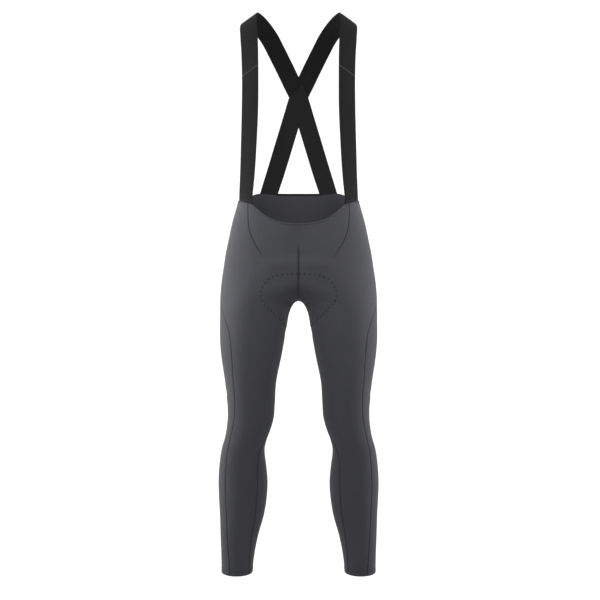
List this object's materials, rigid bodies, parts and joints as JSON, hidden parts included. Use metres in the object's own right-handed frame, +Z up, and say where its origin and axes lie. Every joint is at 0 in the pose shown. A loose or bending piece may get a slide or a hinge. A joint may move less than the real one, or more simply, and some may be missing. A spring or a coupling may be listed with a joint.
{
  "type": "bib tights",
  "caption": "Men's long bib tights in dark grey knit, filled out as if worn, with a low front scoop and black elastic braces that cross at the back",
  "frame": {"origin": "midway between the undersides of the two braces, on top of the wearer's shoulders", "axes": "+X is the wearer's left, the front faces -Y, +Z is up"},
  "size_m": [0.4094, 0.2445, 1.4316],
  "materials": {
    "tights_knit": "matte brushed knit",
    "brace_elastic": "matte woven elastic",
    "binding_elastic": "satin elastic"
  },
  "bodies": {
    "root": {"front_centre_left": "tights_knit", "front_centre_right": "tights_knit", "front_leg_left": "tights_knit", "front_leg_right": "tights_knit", "back_leg_left": "tights_knit", "back_leg_right": "tights_knit", "back_yoke": "tights_knit", "back_binding": "binding_elastic", "front_brace_left": "brace_elastic", "front_brace_right": "brace_elastic", "shoulder_brace_left": "brace_elastic", "shoulder_brace_right": "brace_elastic", "back_brace_left": "brace_elastic", "back_brace_right": "brace_elastic"}
  },
  "joints": []
}
